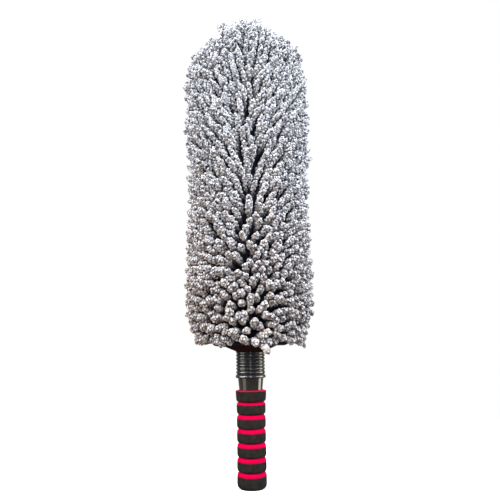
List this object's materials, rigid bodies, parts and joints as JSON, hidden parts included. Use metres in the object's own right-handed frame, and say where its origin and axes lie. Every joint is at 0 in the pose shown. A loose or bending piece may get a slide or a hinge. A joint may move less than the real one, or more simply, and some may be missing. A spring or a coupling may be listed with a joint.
{
  "type": "telescopic car duster",
  "caption": "Telescopic car duster: oval head of knobbly chenille tufts on a steel pole stored inside it, with a twist-lock collar and a short ribbed foam grip.",
  "frame": {"origin": "centre of the grip's bottom face, where the brush stands on a surface", "axes": "+Z along the pole from the grip up to the head's top; X across the head's wide side; the front faces -Y"},
  "size_m": [0.176, 0.152, 0.626],
  "materials": {
    "red_foam": "matte",
    "black_foam": "matte",
    "gloss_black": "gloss",
    "moulded_black": "matte",
    "nylon": "satin",
    "pole_steel": "satin",
    "fastener_steel": "satin",
    "seal_rubber": "matte",
    "sponge": "matte",
    "sleeve_fabric": "matte",
    "mouth_fabric": "matte",
    "elastic": "matte",
    "pile_grey": "matte"
  },
  "bodies": {
    "handle": {"grip_red_foam": "red_foam", "grip_band_1": "black_foam", "grip_band_2": "black_foam", "grip_band_3": "black_foam", "grip_band_4": "black_foam", "grip_band_5": "black_foam", "grip_band_6": "black_foam", "grip_band_7": "black_foam", "handle_core": "gloss_black", "end_plug": "moulded_black", "pole_pin": "fastener_steel", "pole": "pole_steel", "pole_bush": "nylon"},
    "wiper": {"wiper_ring": "seal_rubber"},
    "head": {"head_spine": "moulded_black", "spine_cap": "moulded_black", "head_frame": "moulded_black", "frame_screws": "fastener_steel", "foam_pad_front": "sponge", "foam_pad_back": "sponge", "tuft_sleeve": "sleeve_fabric", "mouth_cone": "mouth_fabric", "mouth_elastic": "elastic", "tuft_pile_left": "pile_grey", "tuft_pile_right": "pile_grey"},
    "clamp": {"collet": "nylon", "clamp_washer": "nylon"},
    "collar": {"ribbed_collar": "gloss_black"}
  },
  "joints": [
    {"name": "head_slide", "type": "slide", "parent": "handle", "child": "wiper", "axis": [0, 0, 1], "range_m": [0, 0.25]},
    {"name": "head_swivel", "type": "hinge", "parent": "wiper", "child": "head", "pos_m": [0, 0, 0.163], "axis": [0, 0, 1], "continuous": true},
    {"name": "collet_slide", "type": "slide", "parent": "head", "child": "clamp", "axis": [0, 0, -1], "range_m": [0, 0.0021]},
    {"name": "collar_turn", "type": "hinge", "parent": "clamp", "child": "collar", "pos_m": [0, 0, 0.144], "axis": [0, 0, -1], "range_deg": [0, 240]}
  ],
  "couplings": [
    {"joint": "collet_slide", "follows": "collar_turn", "m_per_rad": 0.00047746}
  ]
}
